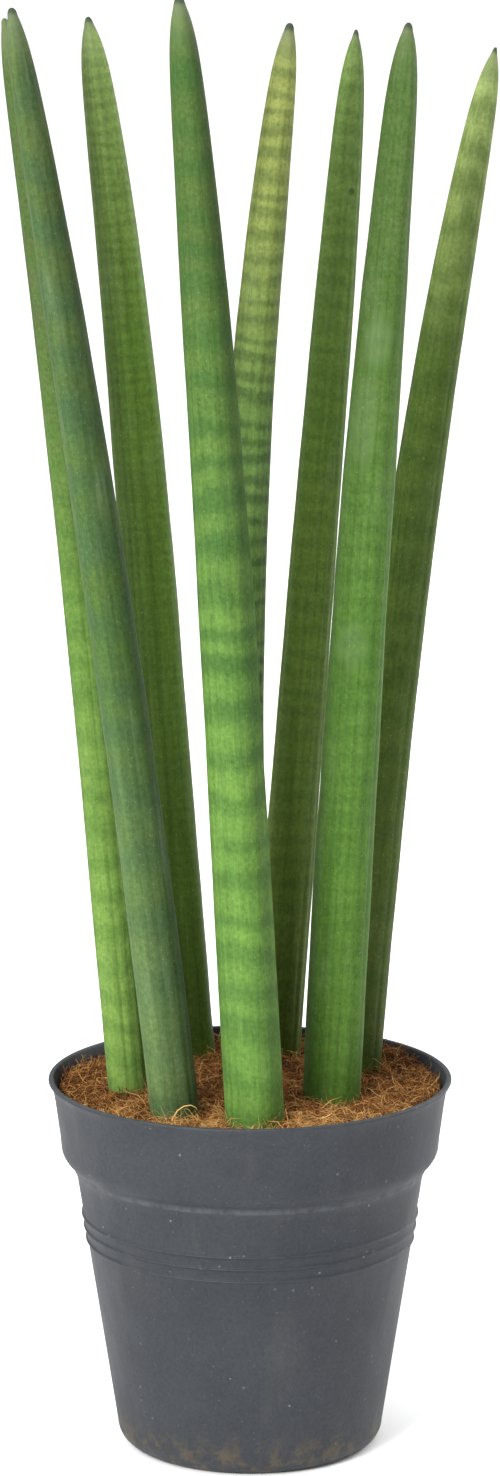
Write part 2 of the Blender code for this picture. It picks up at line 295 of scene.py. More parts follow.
class Group(Graph):
    """A node group with named inputs and outputs."""

    def __init__(self, name: str, kind: TreeKind, takes: dict, gives: dict) -> None:
        """Make the empty group.

        Args:
            name: The group's name.
            kind: Whether it is for geometry or for shaders.
            takes: The inputs' names and kinds.
            gives: The outputs' names and kinds.
        """
        super().__init__(bpy.data.node_groups.new(name, kind.value))
        for way, sockets in (("INPUT", takes), ("OUTPUT", gives)):
            for label, socket in sockets.items():
                self.tree.interface.new_socket(label, in_out=way, socket_type=socket.value)
        source = self.add("NodeGroupInput")
        self.takes = {label: Term(self, source.outputs[label]) for label in takes}
        self.sink = self.add("NodeGroupOutput")

    def give(self, label: str, value: Term) -> None:
        """Feed one of the outputs."""
        self.feed(self.sink.inputs[label], value)

    def close(self, shape: Term, smooth: bool = True) -> None:
        """Make the grown shape real, dress it and put it out.

        Args:
            shape: The grown shape.
            smooth: Whether it is shaded smooth.
        """
        if smooth:
            shape = self.get("GeometryNodeSetShadeSmooth", {"Geometry": shape})
        real = self.get("GeometryNodeRealizeInstances", {"Geometry": shape})
        dressed = self.get("GeometryNodeSetMaterial", {"Geometry": real, "Material": self.takes["Finish"]})
        self.give("Geometry", dressed)


class Surface:
    """A material under way, with its graph and its shader."""

    def __init__(self, name: str) -> None:
        """Start a material of this name."""
        self.material = bpy.data.materials.new(name)
        self.material.use_nodes = True
        self.graph = Graph(self.material.node_tree)
        self.shader = self.material.node_tree.nodes["Principled BSDF"]

    def finish(self, colour: object, roughness: object, specular: float, relief: Term | None = None,
               strength: float = 0.0, depth: float = 0.0) -> bpy.types.Material:
        """Feed the shader.

        Args:
            colour: The base colour.
            roughness: The roughness.
            specular: How strong the reflection is.
            relief: The height of the bump.
            strength: How much of the bump shows.
            depth: How deep the bump is.

        Returns:
            The finished material.
        """
        inputs = {"Base Color": colour, "Roughness": roughness, "Specular IOR Level": specular}
        if relief:
            inputs["Normal"] = self.graph.get("ShaderNodeBump", {"Strength": strength, "Distance": depth,
                                                                 "Height": relief})
        for name, value in inputs.items():
            self.graph.feed(self.shader.inputs[name], value)
        return self.material


def evaluated_mesh(thing: bpy.types.Object) -> bpy.types.Mesh:
    """Return an object's mesh as its modifiers make it."""
    depsgraph = bpy.context.evaluated_depsgraph_get()
    return bpy.data.meshes.new_from_object(thing.evaluated_get(depsgraph), preserve_all_data_layers=True,
                                           depsgraph=depsgraph)


def object_of(data: bpy.types.ID, name: str) -> bpy.types.Object:
    """Put a mesh, camera or light into the scene as an object."""
    made = bpy.data.objects.new(name, data)
    bpy.context.scene.collection.objects.link(made)
    return made


def grown_mesh(tree: bpy.types.NodeTree, values: dict, name: str,
               start: bpy.types.Object | None = None) -> bpy.types.Object:
    """Run a geometry tree and keep its result as a plain mesh object at the origin.

    Args:
        tree: The geometry node group.
        values: What its named inputs get.
        name: The new object's name.
        start: An object whose mesh the tree starts from, which stays as it is.

    Returns:
        The new object, with no modifier on it.
    """
    holder = object_of(start.data.copy() if start else bpy.data.meshes.new(name), name)
    modifier = holder.modifiers.new("grow", "NODES")
    modifier.node_group = tree
    sockets = {item.name: item.identifier for item in tree.interface.items_tree if item.in_out == "INPUT"}
    for label, value in values.items():
        modifier[sockets[label]] = value
    grown = evaluated_mesh(holder)
    holder.modifiers.remove(modifier)
    holder.data = grown
    grown.name = name
    return holder


def object_from(builder: bmesh.types.BMesh, name: str, smooth: bool = True) -> bpy.types.Object:
    """Turn a bmesh into an object, its faces pointing out.

    Args:
        builder: The bmesh, which is freed.
        name: The new object's name.
        smooth: Whether it is shaded smooth.

    Returns:
        The new object.
    """
    bmesh.ops.recalc_face_normals(builder, faces=builder.faces[:])
    mesh = bpy.data.meshes.new(name)
    builder.to_mesh(mesh)
    builder.free()
    if smooth:
        mesh.shade_smooth()
    return object_of(mesh, name)


def around(sides: int) -> list[tuple[float, float]]:
    """Return the cosine and sine of evenly spaced angles, once round."""
    angles = [math.tau * index / sides for index in range(sides)]
    return [(math.cos(angle), math.sin(angle)) for angle in angles]


def add_ring(builder: bmesh.types.BMesh, places: list) -> list[bmesh.types.BMVert]:
    """Add a ring of points to a bmesh."""
    return [builder.verts.new(place) for place in places]


def join_rings(builder: bmesh.types.BMesh, rings: list, capped: bool = True) -> None:
    """Close the skin between neighbouring rings of points.

    Args:
        builder: The bmesh that holds the rings.
        rings: The rings in order; one may be a single point.
        capped: Whether the first and the last ring are closed too.
    """
    for lower, upper in zip(rings[:-1], rings[1:]):
        for index in range(max(len(lower), len(upper))):
            corners = [ring[step % len(ring)] for ring, step in (
                (lower, index), (lower, index + 1), (upper, index + 1), (upper, index))]
            builder.faces.new(tuple(dict.fromkeys(corners)))
    if capped:
        builder.faces.new(rings[0])
        builder.faces.new(rings[-1])


def cut_out(target: bpy.types.Object, cutters: list) -> None:
    """Cut some bodies out of an object and remove them.

    Args:
        target: The object that is cut.
        cutters: The bodies to cut out of it.
    """
    group = bpy.data.collections.new("cutters")
    bpy.context.scene.collection.children.link(group)
    for cutter in cutters:
        group.objects.link(cutter)
    modifier = target.modifiers.new("cut", "BOOLEAN")
    modifier.operation = "DIFFERENCE"
    modifier.operand_type = "COLLECTION"
    modifier.collection = group
    modifier.solver = "EXACT"
    result = evaluated_mesh(target)
    target.modifiers.remove(modifier)
    target.data = result
    for cutter in cutters:
        bpy.data.objects.remove(cutter, do_unlink=True)
    bpy.data.collections.remove(group)


def put_in_place(piece: bpy.types.Object, slot: str, material: bpy.types.Material, *nodes: str) -> None:
    """Dress a finished piece and let it ride on the plant's one body.

    Args:
        piece: The finished piece.
        slot: The name of its material slot, which is logged.
        material: Its material.
        *nodes: The frame's nodes that it stands for.
    """
    piece.data.materials.clear()
    piece.data.materials.append(material)
    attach(piece, BODY)
    if nodes:
        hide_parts(*nodes)
    LOG.info("%s: %d faces, slot %s", piece.name, len(piece.data.polygons), slot)


def rib_turns(graph: Graph, skin: Term, count: Term, seed: Term) -> Term:
    """Tell how many ribs lie between a skin place and the leaf's seam, unevenly spaced.

    Args:
        graph: The tree to build in.
        skin: The skin's place, whose first two numbers go round the leaf.
        count: How many ribs the leaf has.
        seed: The leaf's own number.

    Returns:
        The rib number with its fraction.
    """
    x, y, _ = graph.separate(skin)
    angle = graph.maths("ARCTAN2", y, x)
    wave = graph.maths("SINE", angle * 2.0 + seed)
    second = graph.maths("SINE", angle * 5.0 + seed)
    return angle / math.tau * count + (wave * 0.42 + second * 0.16)


def groove_profile(graph: Graph, turns: Term, sharpness: Term) -> Term:
    """Give the depth of the grooves between ribs, from 0 on a rib to 1, narrower if sharper."""
    away = graph.maths("ABSOLUTE", graph.maths("FRACT", turns) - 0.5)
    return (1.0 - away * 2.0) ** sharpness


class Effects:
    """The shader groups that more than one material uses, each built once."""

    def __init__(self) -> None:
        """Build every group."""
        self.grooves = self.build_grooves()
        self.bands = self.build_bands()
        self.speckle = self.build_speckle()

    @staticmethod
    def build_grooves() -> bpy.types.NodeTree:
        """Build the lines that run along a leaf.

        Returns:
            A group that takes the skin's place and the rib count, and gives the groove's mask and a
            number of its own for each rib.
        """
        graph = Group("leaf_grooves", TreeKind.SHADER, PLACE.each("Skin") | NUMBER.each(
            "Count", "Seed", "Sharpness"), NUMBER.each("Groove", "Rib"))
        takes = graph.takes
        turns = rib_turns(graph, takes["Skin"], takes["Count"], takes["Seed"])
        graph.give("Groove", groove_profile(graph, turns, takes["Sharpness"]))
        wrapped = graph.maths("FLOORED_MODULO", graph.maths("FLOOR", turns), takes["Count"])
        spread = graph.maths("SINE", wrapped * 12.9898 + takes["Seed"])
        graph.give("Rib", graph.maths("FRACT", spread * 437.58))
        return graph.tree

    @staticmethod
    def build_bands() -> bpy.types.NodeTree:
        """Build the broken cross bands of a leaf.

        Returns:
            A group that takes the skin's place, each rib's own number, the bands' scale and seed and
            how far ribs are out of step, and gives the bands' mask.
        """
        graph = Group("cross_bands", TreeKind.SHADER, PLACE.each("Skin") | NUMBER.each(
            "Rib", "Scale", "Seed", "Stagger"), NUMBER.each("Mask"))
        takes = graph.takes
        x, y, along = graph.separate(takes["Skin"])
        height = (along + (takes["Rib"] - 0.5) * takes["Stagger"]) * takes["Scale"] + takes["Seed"]
        broad = graph.noise(graph.combine(x * 0.25, y * 0.25, height * 0.55), 1.0, 1.0)
        fine = graph.noise(graph.combine(x * 3.4, y * 3.4, height * 1.5), 1.0, 3.0, 0.65)
        wave = graph.maths("SINE", height * math.tau + broad * 9.0)
        graph.give("Mask", graph.span(wave * 0.17 + broad * 0.45 + fine * 0.55, 0.34, 0.72))
        return graph.tree

    @staticmethod
    def build_speckle() -> bpy.types.NodeTree:
        """Build fine specks, such as pores, dust and grit.

        Returns:
            A group that takes a place, the specks' size and how many there are, and gives their mask.
        """
        graph = Group("speckle", TreeKind.SHADER, PLACE.each("Place") | NUMBER.each("Scale", "Amount"),
                      NUMBER.each("Mask"))
        cells = graph.add("ShaderNodeTexVoronoi", {"Vector": graph.takes["Place"],
                                                   "Scale": graph.takes["Scale"]})
        chance = graph.separate(Term(graph, cells.outputs["Color"]))[0]
        chosen = graph.maths("LESS_THAN", chance, graph.takes["Amount"])
        spot = graph.span(Term(graph, cells.outputs["Distance"]), 0.12, 0.34, 1.0, 0.0)
        graph.give("Mask", chosen * spot)
        return graph.tree


class LeafTone(Enum):
    """The material slots of the leaves."""

    YELLOW_GREEN = "leaf_yellow_green"
    BLUE_GREEN = "leaf_blue_green"
    DARK_GREEN = "leaf_dark_green"
    BRIGHT_GREEN = "leaf_bright_green"


@dataclass(frozen=True)
class LeafForm:
    """Where a leaf stands and how it grows."""

    foot: tuple[float, float]
    tip: tuple[float, float, float]
    bow: float
    skew: float
    girth: float
    seed: float
    blunt: float
    rib_count: int = 13
    rib_depth: float = 0.034
    rib_sharpness: float = 2.2

    def centre(self, share: float) -> Vector:
        """Return the point of the middle line, from 0 at the coir to 1 at the tip."""
        point = Vector((*self.foot, SOIL_LEVEL)).lerp(Vector(self.tip), share)
        spread = share * (1.0 - share)
        point.x += 4.0 * self.bow * spread + 6.0 * self.skew * spread * (1.0 - 2.0 * share)
        return point


@dataclass(frozen=True)
class Patch:
    """A pale or dark patch on a leaf's front: its place, its size and its colour."""

    from_tip: float
    across: float
    length: float
    width: float
    strength: float
    colour: tuple

    def cover(self, graph: Graph, ground: Term, skin: tuple[Term, ...], ragged: Term) -> Term:
        """Blend the patch into the skin's colour.

        Args:
            graph: The tree to build in.
            ground: The colour below it.
            skin: The skin's place: to the right and to the back from -1 to 1, and down from the tip.
            ragged: A fine noise that breaks the patch's edge.

        Returns:
            The blended colour.
        """
        x, y, from_tip = skin
        along = (from_tip - self.from_tip) / self.length
        across = (x - self.across) / self.width
        away = along * along + across * across + graph.span(ragged, 0.2, 0.8, -0.45, 0.45, smooth=False)
        mask = graph.span(away, 0.1, 1.0, self.strength, 0.0) * graph.span(y, -0.1, 0.1, 1.0, 0.0)
        return graph.blend(mask, ground, self.colour)


@dataclass(frozen=True)
class LeafFinish:
    """The colours and markings of one leaf's skin, with painted shade in its grooves and painted light and
    shade on its two sides.
    """

    low: tuple
    middle: tuple
    high: tuple
    band: tuple
    band_low: float
    band_middle: float
    band_high: float
    middle_at: float = 0.45
    high_at: float = 0.78
    band_scale: float = 150.0
    stagger: float = 0.0016
    # Painted light on the left and right sides: above 1 brightens them, below 1 darkens them with painted
    # shade
    left_painted_light: float = 1.0
    right_painted_light: float = 1.0
    patches: tuple[Patch, ...] = ()
    # How much painted shade darkens the grooves
    groove_shade: float = 0.13
    bloom: float = 0.10
    bloom_colour: tuple = paint(133, 151, 119)
    pore: tuple = paint(151, 159, 127)
    roughness: float = 0.62
    tip_length: float = 0.0022
    tip_pale: float = 0.30
    tip_colours: tuple = (paint(126, 136, 100), paint(92, 102, 76), paint(62, 70, 58))

    def material(self, name: str, form: LeafForm, effects: Effects) -> bpy.types.Material:
        """Make the skin's material.

        Args:
            name: The material's name.
            form: The leaf that it goes on.
            effects: The shared shader groups.

        Returns:
            The material.
        """
        surface = Surface(name)
        graph = surface.graph
        skin = graph.get("ShaderNodeAttribute", output="Vector", attribute_name=SKIN)
        x, y, from_tip = graph.separate(skin)
        share = 1.0 - from_tip / LEAF_REACH
        groove, rib = graph.group(effects.grooves, Skin=skin, Count=float(form.rib_count), Seed=form.seed,
                                  Sharpness=form.rib_sharpness)
        band = graph.group(effects.bands, Skin=skin, Rib=rib, Scale=self.band_scale, Seed=form.seed * 7.3,
                           Stagger=self.stagger)[0]

        # Ground colour from the foot up, with soft mottling and cross bands
        ground = graph.ramp(share, ((0.02, self.low), (self.middle_at, self.middle),
                                    (self.high_at, self.high)))
        mottle = graph.noise(graph.combine(x * 0.8, y * 0.8, from_tip * 34.0 + form.seed), 1.0, 3.0, 0.55)
        ground = graph.blend(graph.span(mottle, 0.3, 0.7, 0.0, 0.28), ground, self.band)
        strength = (graph.span(share, 0.05, 0.5, self.band_low, self.band_middle)
                    + graph.span(share, 0.5, 0.8, 0.0, self.band_high - self.band_middle))
        ground = graph.blend(band * strength, ground, self.band)

        # Streaks and velvet grain, painted shade in the grooves, and painted light and shade on the two sides
        streak = graph.noise(graph.combine(x * 7.5, y * 7.5, from_tip * 26.0), 2.2, 3.0, 0.6)
        grain_place = graph.combine(x * 9.0, y * 9.0, from_tip * 1100.0)
        grain = graph.noise(grain_place, 1.6, 2.0, 0.6)
        velvet = graph.noise(graph.get("ShaderNodeTexCoord", output="Object"), 820.0, 3.0, 0.65)
        light = (graph.span(streak, 0.25, 0.75, 0.84, 1.14, smooth=False)
                 + graph.span(velvet, 0.28, 0.72, -0.24, 0.24, smooth=False))
        # Painted shade in the grooves
        light = light * (1.0 - groove * self.groove_shade)
        # Painted light and shade on the left and right sides of the leaf
        light = light * graph.span(x, -0.75, 0.05, self.left_painted_light, 1.0)
        light = light * graph.span(x, 0.15, 0.70, 1.0, self.right_painted_light)
        ground = graph.shade(ground, light)

        # Bloom, patches and pores
        bloom = graph.noise(graph.combine(x, y, from_tip * 22.0), 1.1, 4.0, 0.62)
        ground = graph.blend(graph.span(bloom, 0.50, 0.78, 0.0, self.bloom), ground, self.bloom_colour)
        for patch in self.patches:
            ground = patch.cover(graph, ground, (x, y, from_tip), velvet)
        pores = graph.group(effects.speckle, Place=grain_place, Scale=1.1, Amount=0.06)[0]
        ground = graph.blend(pores * 0.25, ground, self.pore)

        # The pale end and the dry tip
        wilt = from_tip + (streak - 0.5) * 0.004
        dead = graph.span(wilt, self.tip_length * 0.45, self.tip_length, 1.0, 0.0)
        masks = (graph.span(from_tip, 0.002, 0.018, self.tip_pale, 0.0),
                 graph.span(wilt, self.tip_length, self.tip_length * 2.6, 0.55, 0.0), dead)
        for mask, colour in zip(masks, self.tip_colours):
            ground = graph.blend(mask, ground, colour)

        dull = graph.span(streak, 0.3, 0.7, -0.05, 0.07) + graph.span(bloom, 0.45, 0.75, 0.0, 0.12)
        rough = graph.maths("ADD", dull + self.roughness, dead * 0.35, clamp=True)
        return surface.finish(ground, rough, 0.10, streak * 0.8 + grain * 0.35, 0.35, 0.0003)


class LeafTree(Group):
    """The geometry tree that grows one leaf: a middle line, a round section, ribs and unevenness."""

    RINGS = 190
    SIDES = 104
    CROWDING = 1.5
    BURIED_SHARE = 0.085

    def __init__(self) -> None:
        """Build the tree once for all leaves."""
        super().__init__("ribbed_leaf", TreeKind.GEOMETRY, PLACE.each("Foot", "Tip") | NUMBER.each(
            "Bow", "Skew", "Girth", "Rib Count", "Rib Depth", "Rib Sharpness", "Blunt", "Seed"
        ) | SocketKind.FINISH.each("Finish"), SHAPE.each("Geometry"))
        self.share = self.read(SHARE)
        self.away = (1.0 - self.share) * LEAF_REACH
        self.turn = self.read(TURN, PLACE_KIND)
        self.outward = self.here() - self.read(AXIS, PLACE_KIND)
        flat = self.vector("NORMALIZE", self.outward * (1.0, 1.0, 0.0))
        ribbed = self.move(self.store(self.swept(), TURN, flat, PLACE_KIND), "Offset", self.ribs())
        x, y, _ = self.separate(self.turn)
        result = self.store(ribbed, SKIN, self.combine(x, y, self.away), PLACE_KIND)
        for name in (AXIS, TURN, SHARE):
            result = self.get("GeometryNodeRemoveAttribute", {"Geometry": result, "Name": name})
        self.close(result)

    def swept(self) -> Term:
        """Sweep a round section along the middle line, its rings crowded towards the tip."""
        line = self.get("GeometryNodeCurvePrimitiveLine")
        steps = self.get("GeometryNodeResampleCurve", {"Curve": line, "Count": self.RINGS})
        even = self.get("GeometryNodeSplineParameter", output="Factor")
        crowded = 1.0 - (1.0 - even) ** self.CROWDING
        kept = self.store(steps, SHARE, crowded * (1.0 + self.BURIED_SHARE) - self.BURIED_SHARE)
        axis = self.store(self.move(kept, "Position", self.middle_line()), AXIS, self.here(), PLACE_KIND)
        return self.sweep(axis, self.SIDES, self.radius())

    def middle_line(self) -> Term:
        """Work out the place of the bowed middle line, from the foot to the tip."""
        takes, share = self.takes, self.share
        straight = takes["Foot"] + (takes["Tip"] - takes["Foot"]) * share
        spread = share * (1.0 - share)
        bow = takes["Bow"] * 4.0 * spread
        skew = takes["Skew"] * 6.0 * (spread * (1.0 - share * 2.0))
        return straight + self.combine(bow + skew, 0.0, 0.0)

    def radius(self) -> Term:
        """Work out the leaf's radius: a blunt point, then a long taper."""
        away = self.maths("MAXIMUM", self.away, 0.0)
        point, taper, rounding, swell = (self.maths("EXPONENT", away / -length) for length in (
            TIP_ROUNDING, TAPER_LENGTH, BLUNT_ROUNDING, BLUNT_LENGTH))
        full = 1.0 - math.exp(-LEAF_REACH / TAPER_LENGTH)
        both = (1.0 - point) * TIP_SHARE + (1.0 - taper) / full * (1.0 - TIP_SHARE)
        nib = self.span(away, 0.0, 0.003, 0.0003, 0.0) + self.takes["Blunt"] * ((1.0 - rounding) * swell)
        buried = self.span(self.share, -self.BURIED_SHARE, -0.01, 0.7, 1.0)
        slow = self.noise(self.combine(self.takes["Seed"], 0.0, away * 21.0), 1.0)
        uneven = self.span(slow, 0.2, 0.8, 0.98, 1.02)
        return self.takes["Girth"] * both * uneven * buried + nib

    def ribs(self) -> Term:
        """Work out how far each point moves inwards for the grooves and the uneven section."""
        takes = self.takes
        turns = rib_turns(self, self.turn, takes["Rib Count"], takes["Seed"])
        groove = groove_profile(self, turns, takes["Rib Sharpness"])
        depth = groove * takes["Rib Depth"] * self.span(self.away, 0.004, 0.045)
        x, y, _ = self.separate(self.turn)
        uneven = self.noise(self.combine(x, y, self.away * 9.0 + takes["Seed"]), 1.3, 3.0)
        dent = self.span(uneven, 0.25, 0.75, -0.028, 0.028, smooth=False)
        return self.outward * ((depth + dent) * -1.0)


@dataclass(frozen=True)
class Leaf:
    """One leaf of the plant."""

    node: str
    tone: LeafTone
    form: LeafForm
    finish: LeafFinish

    def build(self, grower: LeafTree, effects: Effects) -> None:
        """Grow the leaf, dress it and put it in place of its node.

        Args:
            grower: The tree that all leaves share.
            effects: The shared shader groups.
        """
        material = self.finish.material(self.node + "_skin", self.form, effects)
        form = self.form
        grown = grown_mesh(grower.tree, {
            "Foot": (*form.foot, SOIL_LEVEL), "Tip": form.tip, "Bow": form.bow, "Skew": form.skew,
            "Girth": form.girth, "Rib Count": float(form.rib_count), "Rib Depth": form.rib_depth,
            "Rib Sharpness": form.rib_sharpness, "Blunt": form.blunt, "Seed": form.seed, "Finish": material,
        }, self.node + "_grown")
        put_in_place(grown, self.tone.value, material, self.node)


def plant_leaves() -> tuple[Leaf, ...]:
    """Return the eight leaves, from left to right as seen from the front."""
    pale = paint(122, 142, 106)
    return (
        Leaf("leaf_left_outer", LeafTone.YELLOW_GREEN,
             LeafForm((-0.0358, -0.0040), (-0.0699, 0.0060, 0.4197), 0.0029, -0.0007, 0.0058, 1.3, 0.0005, 9),
             LeafFinish(paint(110, 140, 66), paint(90, 120, 52), paint(69, 82, 45), paint(58, 92, 34),
                        0.35, 0.40, 0.35, high_at=0.74, band_scale=100.0, tip_length=0.0004)),
        Leaf("leaf_left_front", LeafTone.BLUE_GREEN,
             LeafForm((-0.0217, -0.0300), (-0.0658, -0.0400, 0.4255), 0.0027, 0.0, 0.0071, 2.9, 0.0007, 8),
             LeafFinish(paint(76, 94, 54), paint(57, 80, 34), paint(62, 78, 37), paint(40, 66, 44),
                        0.30, 0.42, 0.45, band_scale=55.0, bloom=0.20, left_painted_light=1.50, right_painted_light=0.82)),
        Leaf("leaf_left_back", LeafTone.DARK_GREEN,
             LeafForm((-0.0191, 0.0375), (-0.0475, 0.0520, 0.4172), 0.0023, -0.0015, 0.0088, 4.1, 0.0004),
             LeafFinish(paint(64, 85, 29), paint(76, 102, 37), paint(104, 125, 66), paint(42, 60, 16),
                        0.12, 0.16, 0.26, middle_at=0.70, high_at=0.97, band_scale=250.0, stagger=0.0003,
                        left_painted_light=0.58, right_painted_light=1.36)),
        Leaf("leaf_centre_front", LeafTone.BRIGHT_GREEN,
             LeafForm((0.0015, -0.0390), (-0.0195, -0.0500, 0.4290), 0.0017, -0.0004, 0.0085, 5.7, 0.0008,
                      12),
             LeafFinish(paint(96, 131, 57), paint(88, 121, 53), paint(68, 89, 41), paint(45, 80, 34),
                        0.38, 0.60, 0.52, band_scale=85.0, bloom=0.06, left_painted_light=1.02, right_painted_light=0.67)),
        Leaf("leaf_centre", LeafTone.YELLOW_GREEN,
             LeafForm((0.0010, 0.0140), (0.0115, 0.0180, 0.4176), -0.0085, -0.0007, 0.0078, 6.6, 0.0006),
             LeafFinish(paint(67, 90, 37), paint(88, 116, 56), paint(136, 145, 77), paint(46, 68, 30),
                        0.50, 0.80, 0.42, middle_at=0.62, high_at=0.92, band_scale=165.0, stagger=0.0007,
                        tip_length=0.0030, left_painted_light=0.72, right_painted_light=0.82)),
        Leaf("leaf_right_back", LeafTone.DARK_GREEN,
             LeafForm((0.0078, 0.0395), (0.0311, 0.0500, 0.4136), -0.0004, -0.0002, 0.0076, 8.2, 0.0001, 11),
             LeafFinish(paint(86, 102, 41), paint(78, 101, 39), paint(89, 111, 56), paint(54, 76, 26),
                        0.30, 0.35, 0.35, middle_at=0.62, high_at=0.95, left_painted_light=1.24, right_painted_light=0.98,
                        tip_pale=0.10, patches=(Patch(0.0490, 0.45, 0.0015, 0.25, 0.7, paint(28, 40, 18)),))),
        Leaf("leaf_right_front", LeafTone.BRIGHT_GREEN,
             LeafForm((0.0238, -0.0130), (0.0443, -0.0220, 0.4203), -0.0020, 0.0001, 0.0085, 9.4, 0.0005, 12),
             LeafFinish(paint(73, 104, 38), paint(75, 108, 42), paint(72, 94, 45), paint(52, 84, 28),
                        0.30, 0.35, 0.35, bloom=0.12, left_painted_light=0.82, right_painted_light=0.94, tip_pale=0.2,
                        patches=(Patch(0.0905, -0.10, 0.010, 0.7, 0.17, pale),
                                 Patch(0.1140, -0.35, 0.017, 0.6, 0.12, pale),
                                 Patch(0.1800, -0.20, 0.009, 0.7, 0.13, pale)))),
        Leaf("leaf_right_outer", LeafTone.BRIGHT_GREEN,
             LeafForm((0.0311, 0.0200), (0.0711, 0.0320, 0.4097), -0.0048, 0.0006, 0.0080, 10.8, 0.0),
             LeafFinish(paint(66, 79, 30), paint(70, 90, 34), paint(132, 148, 87), paint(48, 68, 22),
                        0.40, 0.50, 0.40, middle_at=0.70, high_at=1.0, band_scale=85.0, left_painted_light=1.14,
                        right_painted_light=0.92)),
    )


@dataclass(frozen=True)
class PotFinish:
    """The finish of the pot's moulded plastic."""

    plastic: tuple = paint(40, 43, 48)
    worn_and_highlight: tuple = paint(80, 84, 87)
    dust: tuple = paint(104, 101, 95)
    grit: tuple = paint(186, 182, 172)
    soil_stain: tuple = paint(96, 82, 54)
    stain_height: float = 0.016
    roughness: float = 0.58

    def material(self, effects: Effects) -> bpy.types.Material:
        """Make the plastic's material, with its grain, dust, dried soil, worn edges and painted highlights.

        Args:
            effects: The shared shader groups.

        Returns:
            The material.
        """
        surface = Surface("slate_plastic")
        graph = surface.graph
        place = graph.get("ShaderNodeTexCoord", output="Object")
        cloud = graph.noise(place, 38.0, 4.0, 0.55)
        ground = graph.blend(graph.span(cloud, 0.3, 0.7, 0.0, 0.10), self.plastic, self.worn_and_highlight)
        grain = graph.noise(place, 950.0, 3.0, 0.65)
        ground = graph.shade(ground, graph.span(grain, 0.25, 0.75, 0.74, 1.26, smooth=False))
        film = graph.noise(place * (60.0, 60.0, 22.0), 1.0, 5.0, 0.6)
        ground = graph.blend(graph.span(film, 0.52, 0.80, 0.0, 0.16), ground, self.dust)
        low = graph.span(graph.separate(place)[2], 0.001, self.stain_height, 1.0, 0.0)
        grime = low * graph.span(graph.noise(place, 210.0, 4.0, 0.65), 0.42, 0.66)
        ground = graph.blend(grime * 0.55, ground, self.soil_stain)
        for scale, amount, strength, colour in (
                (560.0, 0.020, 0.45, self.dust), (900.0, 0.06, 0.40, self.worn_and_highlight),
                (700.0, 0.004, 0.25, self.grit)):
            specks = graph.group(effects.speckle, Place=place, Scale=scale, Amount=amount)[0]
            ground = graph.blend(specks * strength, ground, colour)
        # Worn edges and painted highlights: partly real wear on the rims and ring crests, and a painted
        # highlight line along the step under the collar
        edge = graph.get("ShaderNodeAttribute", output="Fac", attribute_name=WEAR_AND_HIGHLIGHT)
        ragged = graph.span(graph.noise(place, 320.0, 4.0, 0.6), 0.25, 0.65)
        ground = graph.blend(edge * ragged * 0.55, ground, self.worn_and_highlight)
        rough = graph.span(film, 0.3, 0.8, -0.04, 0.14) + self.roughness
        return surface.finish(ground, rough, 0.3, grain * 0.4 + cloud * 0.5, 0.3, 0.0003)


